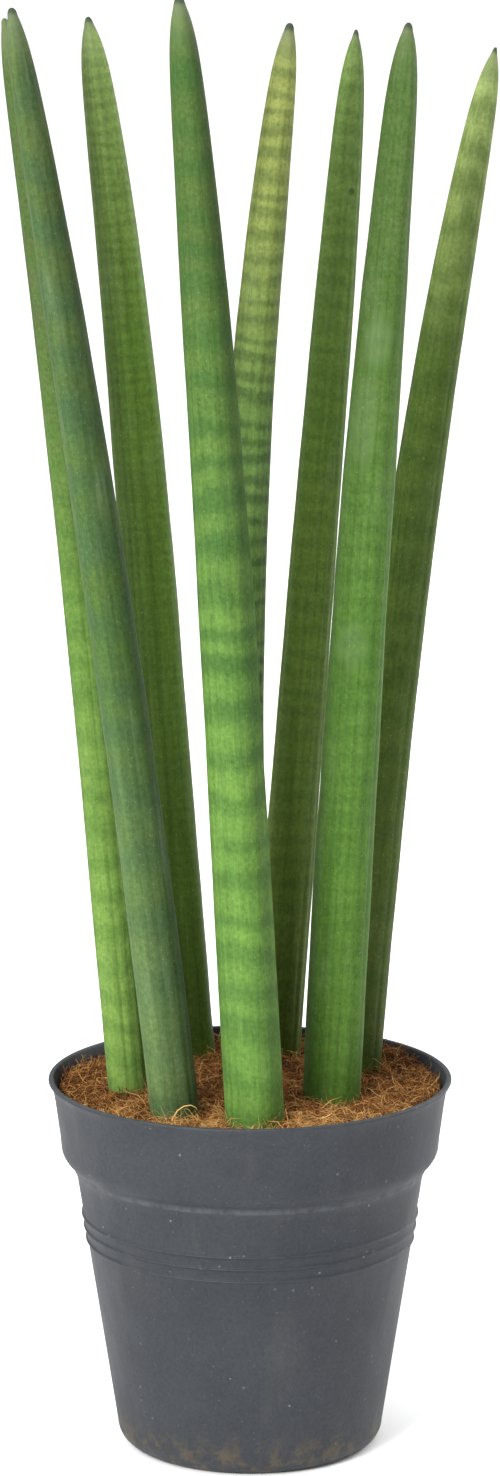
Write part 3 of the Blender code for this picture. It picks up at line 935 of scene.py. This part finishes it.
@dataclass(frozen=True)
class NurseryPot:
    """The turned plastic pot with its lip, collar, rings, foot and drainage holes."""

    lip_radius: float = 0.0594
    lip_top: float = 0.1108
    lip_roll: float = 0.0006
    lip_flare: tuple[tuple[float, float], ...] = ((0.0004, 0.0020), (0.0010, 0.0033))
    lip_roll_span: tuple[float, float] = (-40.0, 90.0)
    lip_edge: tuple[float, float] = (0.0005, 0.00015)
    lip_inner_radius: float = 0.0577
    lip_inner_flare: tuple[float, float] = (0.0006, 0.0026)
    collar_top_radius: float = 0.0576
    collar_top: float = 0.1056
    collar_foot_radius: float = 0.0557
    collar_foot: float = 0.0904
    collar_rounding: float = 0.001
    collar_steps: int = 7
    step_radius: float = 0.0516
    step_bottom: float = 0.0848
    plain_below_step: float = 0.004
    # The third number of each bead point, and of the first step share, is a painted highlight line along the
    # step under the collar
    bead: tuple[tuple[float, float, float], ...] = (
        (-0.0017, 0.0, 0.2), (-0.0012, 0.0004, 1.0), (-0.0006, 0.0005, 1.0))
    step_shares: tuple[tuple[float, float, float], ...] = (
        (0.16, 0.03, 0.4), (0.42, 0.18, 0.0), (0.66, 0.37, 0.0), (0.86, 0.60, 0.0), (0.97, 0.82, 0.0),
        (1.0, 1.0, 0.0))
    body_foot_radius: float = 0.0394
    body_foot: float = 0.0060
    foot_radius: float = 0.0340
    wall: float = 0.0012
    ring_heights: tuple[float, ...] = (0.0622, 0.0660, 0.0698)
    ring_relief: float = 0.0006
    ring_width: float = 0.0013
    foot_ring_inner_radius: float = 0.0300
    middle_disc_radius: float = 0.0130
    underside_taper: float = 0.0006
    edge_flat: float = 0.0004
    edge_rise: float = 0.0002
    floor_underside: float = 0.0022
    floor_top: float = 0.0036
    drain_count: int = 8
    drain_radius: float = 0.0035
    drain_circle: float = 0.0218
    drain_sides: int = 28
    sides: int = 176
    curve_steps: int = 8
    sharp_angle: float = 50.0

    def body_radius(self, height: float) -> float:
        """Return the outer radius of the tapering body at a height."""
        share = (height - self.body_foot) / (self.step_bottom - self.body_foot)
        return self.body_foot_radius + (self.step_radius - self.body_foot_radius) * share

    def underside(self) -> list[tuple[float, float, float]]:
        """Return the underside from the axis out to the foot, each point with its wear."""
        disc, ring = self.middle_disc_radius, self.foot_ring_inner_radius
        return [(0.0, 0.0, 0.0), (disc - self.edge_flat, 0.0, 0.2), (disc, self.edge_rise, 0.6),
                (disc + self.underside_taper, self.floor_underside, 0.0),
                (ring - self.underside_taper, self.floor_underside, 0.0),
                (ring, self.edge_rise, 0.6), (ring + self.edge_flat, 0.0, 0.6)]

    def outside(self) -> list[tuple[float, float, float]]:
        """Return the outer side from the foot up to the lip, each point with its wear and painted highlight.
        """
        points = []
        across = self.body_foot_radius - self.foot_radius
        for index in range(self.curve_steps + 1):
            angle = math.radians(-90.0 + 90.0 * index / self.curve_steps)
            points.append((self.foot_radius + across * math.cos(angle),
                           self.body_foot * (1.0 + math.sin(angle)), 0.35 if index < 7 else 0.1))
        # Raised rings, their crests marked with wear and painted highlight
        for height in self.ring_heights:
            for index in range(self.curve_steps + 1):
                share = index / self.curve_steps - 0.5
                lift = self.ring_relief * math.cos(math.pi * share) ** 2
                level = height + share * self.ring_width
                points.append((self.body_radius(level) + lift, level, 0.25 if abs(share) < 0.3 else 0.0))
        level = self.step_bottom - self.plain_below_step
        points.append((self.body_radius(level), level, 0.0))
        points.extend((self.step_radius + out, self.step_bottom + rise, worn_and_highlight)
                      for rise, out, worn_and_highlight in self.bead)
        out = self.collar_foot_radius - self.step_radius
        rise = self.collar_foot - self.step_bottom
        points.extend((self.step_radius + out * share, self.step_bottom + rise * level, worn_and_highlight)
                      for share, level, worn_and_highlight in self.step_shares)
        for index in range(1, self.collar_steps):
            share = index / self.collar_steps
            level = (self.collar_foot + self.collar_rounding
                     + (self.collar_top - self.collar_foot - self.collar_rounding) * share)
            radius = self.collar_foot_radius + (self.collar_top_radius - self.collar_foot_radius) * share
            points.append((radius, level, 0.0))
        points.extend((self.collar_top_radius + outward, self.collar_top + upward, 0.0)
                      for outward, upward in self.lip_flare)
        radius, level = self.lip_radius - self.lip_roll, self.lip_top - self.lip_roll
        start, end = self.lip_roll_span
        for index in range(self.curve_steps + 1):
            angle = math.radians(start + (end - start) * index / self.curve_steps)
            points.append((radius + self.lip_roll * math.cos(angle), level + self.lip_roll * math.sin(angle),
                           0.5 if angle > 0.5 else 0.0))
        flat, bevel = self.lip_edge
        points.append((self.lip_inner_radius + flat, self.lip_top, 0.5))
        points.append((self.lip_inner_radius + bevel, self.lip_top - bevel, 0.5))
        return points

    def inside(self) -> list[tuple[float, float, float]]:
        """Return the inner side from the lip down to the floor, each point with its wear."""
        return [
            (self.lip_inner_radius, self.lip_top - self.lip_edge[0], 0.2),
            (self.collar_top_radius - self.wall + self.lip_inner_flare[0],
             self.collar_top + self.lip_inner_flare[1], 0.0),
            (self.collar_top_radius - self.wall, self.collar_top, 0.0),
            (self.collar_foot_radius - self.wall, self.collar_foot, 0.0),
            (self.step_radius - self.wall, self.step_bottom, 0.0),
            (self.body_foot_radius - self.wall, self.body_foot, 0.0),
            (self.body_foot_radius - 2 * self.wall, self.floor_top, 0.0),
            (0.0, self.floor_top, 0.0),
        ]

    def build(self, finish: PotFinish, effects: Effects) -> None:
        """Turn the pot, drill its drainage holes and put it in place.

        Args:
            finish: The plastic's finish.
            effects: The shared shader groups.
        """
        builder = bmesh.new()
        wear_and_highlight = builder.verts.layers.float.new(WEAR_AND_HIGHLIGHT)
        rings = []
        for radius, height, worn_and_highlight in self.underside() + self.outside() + self.inside():
            ring = add_ring(builder, [(radius * cosine, radius * sine, height)
                                      for cosine, sine in around(self.sides if radius else 1)])
            for vertex in ring:
                vertex[wear_and_highlight] = worn_and_highlight
            rings.append(ring)
        join_rings(builder, rings, capped=False)
        pot = object_from(builder, "nursery_pot")
        cut_out(pot, [self.drain_cutter()])
        pot.data.shade_smooth()
        pot.data.set_sharp_from_angle(angle=math.radians(self.sharp_angle))
        put_in_place(pot, "pot_plastic", finish.material(effects), "pot")

    def drain_cutter(self) -> bpy.types.Object:
        """Return the drill for the drainage holes in the floor."""
        drill = bmesh.new()
        for index in range(self.drain_count):
            angle = math.tau * (index + 0.5) / self.drain_count
            made = bmesh.ops.create_cone(drill, cap_ends=True, segments=self.drain_sides,
                                         radius1=self.drain_radius, radius2=self.drain_radius,
                                         depth=4 * self.floor_top)
            place = Vector((self.drain_circle * math.cos(angle), self.drain_circle * math.sin(angle),
                            self.floor_top / 2))
            bmesh.ops.translate(drill, verts=made["verts"], vec=place)
        return object_from(drill, "drill")


@dataclass(frozen=True)
class CoirFinish:
    """The colours of the coconut coir, with painted light towards the front and painted shade towards the
    back.
    """

    dark: tuple = paint(66, 37, 15)
    middle: tuple = paint(138, 88, 41)
    light: tuple = paint(212, 168, 103)
    roughness: float = 0.92

    def material(self, name: str, shadow: float) -> bpy.types.Material:
        """Make the coir's material, its tint read from each fibre or crumb.

        Args:
            name: The material's name.
            shadow: How much painted shade darkens the whole; below zero it paints light instead.

        Returns:
            The material.
        """
        surface = Surface(name)
        graph = surface.graph
        place = graph.get("ShaderNodeTexCoord", output="Object")
        tint = graph.get("ShaderNodeAttribute", output="Fac", attribute_name=TINT)
        fine = graph.noise(place, 900.0, 3.0, 0.6)
        value = tint * 0.50 + graph.noise(place, 120.0, 4.0, 0.6) * 1.10 + fine * 0.25
        # Painted light towards the front of the bed and painted shade towards the back
        value = value + graph.span(graph.separate(place)[1], -0.050, -0.012, 0.16, -0.08)
        stops = ((0.12, self.dark), (0.5, self.middle), (0.88, self.light))
        ground = graph.ramp(value - (0.45 + shadow), stops)
        return surface.finish(ground, graph.span(fine, 0.2, 0.8, self.roughness - 0.1, 1.0), 0.2,
                              fine, 0.6, 0.0004)


@dataclass(frozen=True)
class Hill:
    """A mound or hollow of the coir."""

    x: float
    y: float
    rise: float
    width: float


class CoirTree(Group):
    """A geometry tree that grows small pieces on the open part of a bed of coir."""

    def __init__(self, name: str, *numbers: str) -> None:
        """Start the tree with these named numbers."""
        takes = SHAPE.each("Geometry") | NUMBER.each("Density") | SocketKind.WHOLE.each("Seed")
        takes |= NUMBER.each(*numbers) | SocketKind.FINISH.each("Finish")
        super().__init__(name, TreeKind.GEOMETRY, takes, SHAPE.each("Geometry"))

    def chance(self, low: float, high: float, salt: float) -> Term:
        """Draw a number for each point."""
        inputs = {2: low, 3: high, "Seed": self.takes["Seed"] + salt}
        return self.get("FunctionNodeRandomValue", inputs, 1, data_type="FLOAT")

    def mark(self, shape: Term, name: str, high: float, salt: float) -> Term:
        """Give each piece a number of its own, from zero up."""
        return self.store(shape, name, self.chance(0.0, high, salt), domain="INSTANCE")

    def scatter(self, piece: Term, spin: Term, scale: Term) -> Term:
        """Scatter a piece over the bed.

        Args:
            piece: The fibre or crumb.
            spin: How each one is turned.
            scale: The size of each one.

        Returns:
            The pieces.
        """
        points = self.get("GeometryNodeDistributePointsOnFaces", {
            "Mesh": self.takes["Geometry"], "Density": self.read(OPEN) * self.takes["Density"],
            "Seed": self.takes["Seed"]}, "Points")
        return self.get("GeometryNodeInstanceOnPoints", {
            "Points": points, "Instance": piece, "Scale": scale,
            "Rotation": self.get("FunctionNodeEulerToRotation", {0: spin})})


class FibreTree(CoirTree):
    """The tree of fibres: short curved strands that lie and stand on the bed."""

    POINTS = 8
    SIDES = 3
    OWN_RANGE = 40.0
    NOISE = 160.0

    def __init__(self) -> None:
        """Grow the fibres; each curls by a noise of its own and stays inside the pot's wall."""
        super().__init__("coir_fibres", "Length", "Radius", "Tilt", "Curl", "Reach")
        takes = self.takes
        strand = self.get("GeometryNodeCurvePrimitiveLine", {"Start": (-0.5, 0.0, 0.0),
                                                             "End": (0.5, 0.0, 0.0)})
        steps = self.get("GeometryNodeResampleCurve", {"Curve": strand, "Count": self.POINTS})
        spin = self.combine(0.0, self.chance(-1.0, 1.0, 1.0), self.chance(0.0, math.tau, 2.0))
        length = takes["Length"] * self.chance(0.35, 1.3, 3.0)
        placed = self.scatter(steps, spin * self.combine(1.0, takes["Tilt"], 1.0),
                              self.combine(length, length, length))
        owned = self.mark(self.mark(placed, TINT, 1.0, 4.0), OWN, self.OWN_RANGE, 5.0)
        real = self.get("GeometryNodeRealizeInstances", {"Geometry": owned})
        here, own = self.here(), self.read(OWN)
        bend = self.noise(here + self.combine(own, own, own), self.NOISE, 1.0, output="Color")
        curled = here + (bend - (0.5, 0.5, 0.42)) * takes["Curl"]
        away = self.vector("LENGTH", curled * (1.0, 1.0, 0.0))
        inside = self.maths("MINIMUM", 1.0, takes["Reach"] / away)
        bent = self.move(real, "Position", curled * self.combine(inside, inside, 1.0))
        part = self.get("GeometryNodeSplineParameter", output="Factor")
        middle = 1.0 - self.maths("ABSOLUTE", part * 2.0 - 1.0)
        thick = takes["Radius"] * self.span(middle, 0.0, 0.5, 0.25, 1.0)
        thick = thick * self.span(own, 0.0, self.OWN_RANGE, 0.5, 1.5, smooth=False)
        self.close(self.sweep(bent, self.SIDES, thick))


class CrumbTree(CoirTree):
    """The tree of crumbs: small lumps pressed into the bed."""

    NOISE = 900.0
    PUSH = 0.0011

    def __init__(self) -> None:
        """Grow the crumbs, each roughened by a noise."""
        super().__init__("coir_crumbs", "Size")
        lump = self.get("GeometryNodeMeshIcoSphere", {"Radius": 1.0, "Subdivisions": 2})
        spin = self.combine(*(self.chance(0.0, math.tau, salt) for salt in (1.0, 2.0, 3.0)))
        size = self.takes["Size"] * self.maths("ADD", 0.35, self.chance(0.0, 1.0, 4.0) ** 2.5)
        flat = size * self.chance(0.45, 1.0, 5.0)
        placed = self.mark(self.scatter(lump, spin, self.combine(size, flat, size)), TINT, 1.0, 6.0)
        real = self.get("GeometryNodeRealizeInstances", {"Geometry": placed})
        rough = self.noise(self.here(), self.NOISE, 2.0, output="Color")
        self.close(self.move(real, "Offset", (rough - (0.5, 0.5, 0.5)) * self.PUSH), smooth=False)


@dataclass(frozen=True)
class StrayFibre:
    """One long pale fibre that stands out of the coir and curls over."""

    path: tuple[tuple[float, float, float], ...] = (
        (-0.0229, -0.0424, 0.1060), (-0.0226, -0.0425, 0.1075), (-0.0221, -0.0425, 0.1096),
        (-0.0207, -0.0425, 0.1119), (-0.0189, -0.0425, 0.1131), (-0.0170, -0.0424, 0.1134),
        (-0.0156, -0.0422, 0.1127), (-0.0150, -0.0420, 0.1116))
    radius: float = 0.00021
    sides: int = 6

    def build(self) -> bpy.types.Object:
        """Sweep the fibre along its path, thinner at its free end.

        Returns:
            The fibre.
        """
        builder = bmesh.new()
        tint = builder.verts.layers.float.new(TINT)
        places = [Vector(place) for place in self.path]
        last = len(places) - 1
        rings = []
        for index, place in enumerate(places):
            along = (places[min(index + 1, last)] - places[max(index - 1, 0)]).normalized()
            across = along.cross(Vector((0.0, 1.0, 0.0))).normalized()
            upward = across.cross(along).normalized()
            reach = self.radius * (1.0 - 0.6 * (index / last) ** 2)
            rings.append(add_ring(builder, [place + reach * (cosine * across + sine * upward)
                                            for cosine, sine in around(self.sides)]))
        for vertex in builder.verts:
            vertex[tint] = 1.0
        join_rings(builder, rings)
        return object_from(builder, "coir_stray_fibre")


@dataclass(frozen=True)
class CoirBed:
    """The coconut coir that fills the pot, with its fibres and crumbs."""

    pot: NurseryPot
    leaves: tuple[Leaf, ...]
    edge_drop: float = 0.0005
    edge_width: float = 0.008
    ripple: float = 0.0012
    ripple_size: float = 0.010
    ripple_layers: tuple[tuple[float, float], ...] = ((0.45, 2.7), (0.30, 7.0))
    rings: int = 96
    sides: int = 176
    play: float = 0.0003
    leaf_margin: float = 0.0004
    hole_sides: int = 48
    hole_steps: tuple[tuple[float, float], ...] = ((0.031, 0.78), (0.0, 1.0), (-0.012, 1.0))
    hills: tuple[Hill, ...] = (Hill(0.0410, 0.0360, 0.0020, 0.013),)

    def wall_radius(self, height: float) -> float:
        """Return the radius of the pot's inner wall at a height above the step."""
        pot = self.pot
        share = (height - pot.collar_foot) / (pot.collar_top - pot.collar_foot)
        return pot.collar_foot_radius - pot.wall + (pot.collar_top_radius - pot.collar_foot_radius) * share

    def height(self, x: float, y: float) -> float:
        """Return the height of the coir's surface at a spot.

        Args:
            x: The spot's place to the right.
            y: The spot's place to the back.

        Returns:
            The height above the ground.
        """
        edge = self.wall_radius(SOIL_LEVEL) - math.hypot(x, y)
        level = SOIL_LEVEL - self.edge_drop * max(0.0, 1.0 - edge / self.edge_width) ** 2
        place = Vector((x, y, 0.0))
        level += self.ripple * noise.noise(place / self.ripple_size)
        for share, finer in self.ripple_layers:
            level += share * self.ripple * noise.noise(place * (finer / self.ripple_size))
        for hill in self.hills:
            away = math.hypot(x - hill.x, y - hill.y) / hill.width
            level += hill.rise * math.exp(-away * away)
        return level

    def build(self, finish: CoirFinish) -> None:
        """Build the bed, cut the leaves' holes and cover it with crumbs and fibres.

        Args:
            finish: The coir's colours.
        """
        bed = self.build_bed()
        fibre_tree = FibreTree().tree
        # Copies of one coir material: the loose fluff and the stray fibre get painted light, and the bed
        # below gets painted shade
        fine = finish.material("coir_fibre", 0.0)
        loose = finish.material("coir_loose_fibre_painted_light", -0.16)
        reach = self.wall_radius(SOIL_LEVEL) - 2 * self.play
        fibres, strands, fluff = (
            grown_mesh(fibre_tree, {"Density": density, "Seed": seed, "Length": length, "Radius": radius,
                                    "Tilt": tilt, "Curl": curl, "Reach": reach, "Finish": material},
                       name, bed)
            for name, density, seed, length, radius, tilt, curl, material in (
                ("coir_fine_fibres", 520000.0, 3, 0.0062, 0.00009, 0.70, 0.0072, fine),
                ("coir_strands", 120000.0, 8, 0.0095, 0.00014, 0.35, 0.0085, fine),
                ("coir_fluff", 300000.0, 21, 0.0085, 0.00007, 0.95, 0.0110, loose)))
        crumbs = grown_mesh(CrumbTree().tree, {"Density": 90000.0, "Seed": 5, "Size": 0.0009, "Finish": fine},
                            "coir_crumbs", bed)
        # The bed's coir is darkened with painted shade, for the gaps between the fibres
        put_in_place(bed, "coir", finish.material("coir_bed", 0.12), "soil")
        for piece in (fibres, strands, crumbs):
            put_in_place(piece, "coir", fine)
        for piece in (fluff, StrayFibre().build()):
            put_in_place(piece, "coir", loose)

    def build_bed(self) -> bpy.types.Object:
        """Build the coir's body with a plain hole for each leaf, and mark its open surface."""
        builder = bmesh.new()
        free = builder.verts.layers.float.new(OPEN)
        turns = around(self.sides)
        wall = [(radius - self.play, height) for radius, height, _ in self.pot.inside()[3:-1]]
        wall[-1] = (wall[-1][0], self.pot.floor_top + self.play)
        rings = [add_ring(builder, [(radius * cosine, radius * sine, height) for cosine, sine in turns])
                 for radius, height in reversed(wall)]
        edge = self.wall_radius(SOIL_LEVEL) - self.play
        for index in range(self.rings, 0, -1):
            radius = edge * index / self.rings
            spots = [(radius * cosine, radius * sine) for cosine, sine in turns]
            ring = add_ring(builder, [(x, y, self.height(x, y)) for x, y in spots])
            for vertex, (x, y) in zip(ring, spots):
                vertex[free] = float(index < self.rings - 1 and self.is_open(x, y))
            rings.append(ring)
        join_rings(builder, rings)
        bed = object_from(builder, "coir_bed")
        cut_out(bed, [self.hole(leaf.form) for leaf in self.leaves])
        return bed

    def is_open(self, x: float, y: float) -> bool:
        """Tell whether a spot of the coir lies clear of every leaf."""
        return all(math.hypot(x - leaf.form.foot[0], y - leaf.form.foot[1])
                   > leaf.form.girth + self.leaf_margin for leaf in self.leaves)

    def hole(self, form: LeafForm) -> bpy.types.Object:
        """Make the body of the hole that a leaf of this form stands in.

        Args:
            form: The leaf's form.

        Returns:
            The body.
        """
        foot = form.centre(0.0)
        down = (form.centre(0.0) - form.centre(0.02)).normalized()
        side = down.cross(Vector((0.0, 1.0, 0.0))).normalized()
        depth = side.cross(down).normalized()
        radius = form.girth * 1.01 + self.play
        builder = bmesh.new()
        join_rings(builder, [
            add_ring(builder, [foot + down * offset + radius * share * (cosine * side + sine * depth)
                               for cosine, sine in around(self.hole_sides)])
            for offset, share in self.hole_steps])
        return object_from(builder, "hole")


@dataclass(frozen=True)
class Studio:
    """The pale floor, the soft lights and the camera."""

    camera_distance: float = 1.50
    camera_height: float = 0.5155
    camera_pitch: float = 11.43
    focal_length: float = 128.32
    sensor_width: float = 36.0
    clip_end: float = 100.0
    floor_size: float = 30.0
    floor_colour: tuple = (0.97, 0.97, 0.97, 1.0)
    aim: tuple[float, float, float] = (0.0, 0.0, 0.2)

    def build(self) -> None:
        """Set up the whole studio."""
        self.place_camera()
        self.area_light("key", (-1.05, -1.70, 1.25), 0.8, 56.0)
        self.area_light("rim", (1.50, 1.15, 0.75), 0.9, 24.0)
        self.place_sky()
        self.place_floor()
        bpy.context.scene.view_settings.view_transform = "Standard"

    def place_camera(self) -> None:
        """Put the camera where the photo was taken from."""
        data = bpy.data.cameras.new("camera")
        data.sensor_width = self.sensor_width
        data.lens = self.focal_length
        data.clip_end = self.clip_end
        camera = object_of(data, "camera")
        camera.location = (0.0, -self.camera_distance, self.camera_height)
        camera.rotation_euler = (math.radians(90.0 - self.camera_pitch), 0.0, 0.0)
        bpy.context.scene.camera = camera

    def area_light(self, name: str, place: tuple, size: float, power: float) -> None:
        """Hang one square light that faces the plant.

        Args:
            name: The light's name.
            place: Where it hangs.
            size: The length of its side.
            power: Its power in watts.
        """
        data = bpy.data.lights.new(name, "AREA")
        data.size = size
        data.energy = power
        light = object_of(data, name)
        light.location = place
        light.rotation_euler = (Vector(self.aim) - Vector(place)).to_track_quat("-Z", "Y").to_euler()

    @staticmethod
    def place_sky() -> None:
        """Light all round, brighter from above and from the left, plain white to the camera."""
        world = bpy.data.worlds.new("surround")
        world.use_nodes = True
        graph = Graph(world.node_tree)
        background = world.node_tree.nodes["Background"]
        across, _, height = graph.separate(graph.get("ShaderNodeTexCoord", output="Generated"))
        sky = (graph.span(height, 0.0, 1.0, 0.30, 1.75, smooth=False)
               * graph.span(across, -0.9, 0.9, 1.28, 0.74, smooth=False))
        seen = graph.get("ShaderNodeLightPath", output="Is Camera Ray")
        graph.feed(background.inputs["Strength"], graph.maths("MAXIMUM", seen, sky))
        background.inputs["Color"].default_value = (1.0, 1.0, 1.0, 1.0)
        bpy.context.scene.world = world

    def place_floor(self) -> None:
        """Lay a large pale floor."""
        builder = bmesh.new()
        bmesh.ops.create_grid(builder, x_segments=1, y_segments=1, size=self.floor_size)
        floor = object_from(builder, "floor", smooth=False)
        floor.data.materials.append(Surface("pale_floor").finish(self.floor_colour, 0.9, 0.1))


def main() -> None:
    """Build the plant round its frame and the studio round the plant."""
    logging.basicConfig(level=logging.INFO, format="%(name)s: %(message)s")
    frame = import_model()
    LOG.info("frame holds %s", ", ".join(sorted(frame["nodes"])))
    effects = Effects()
    pot = NurseryPot()
    pot.build(PotFinish(), effects)
    leaves = plant_leaves()
    grower = LeafTree()
    for leaf in leaves:
        leaf.build(grower, effects)
    CoirBed(pot, leaves).build(CoirFinish())
    Studio().build()


if __name__ == "__main__":
    main()
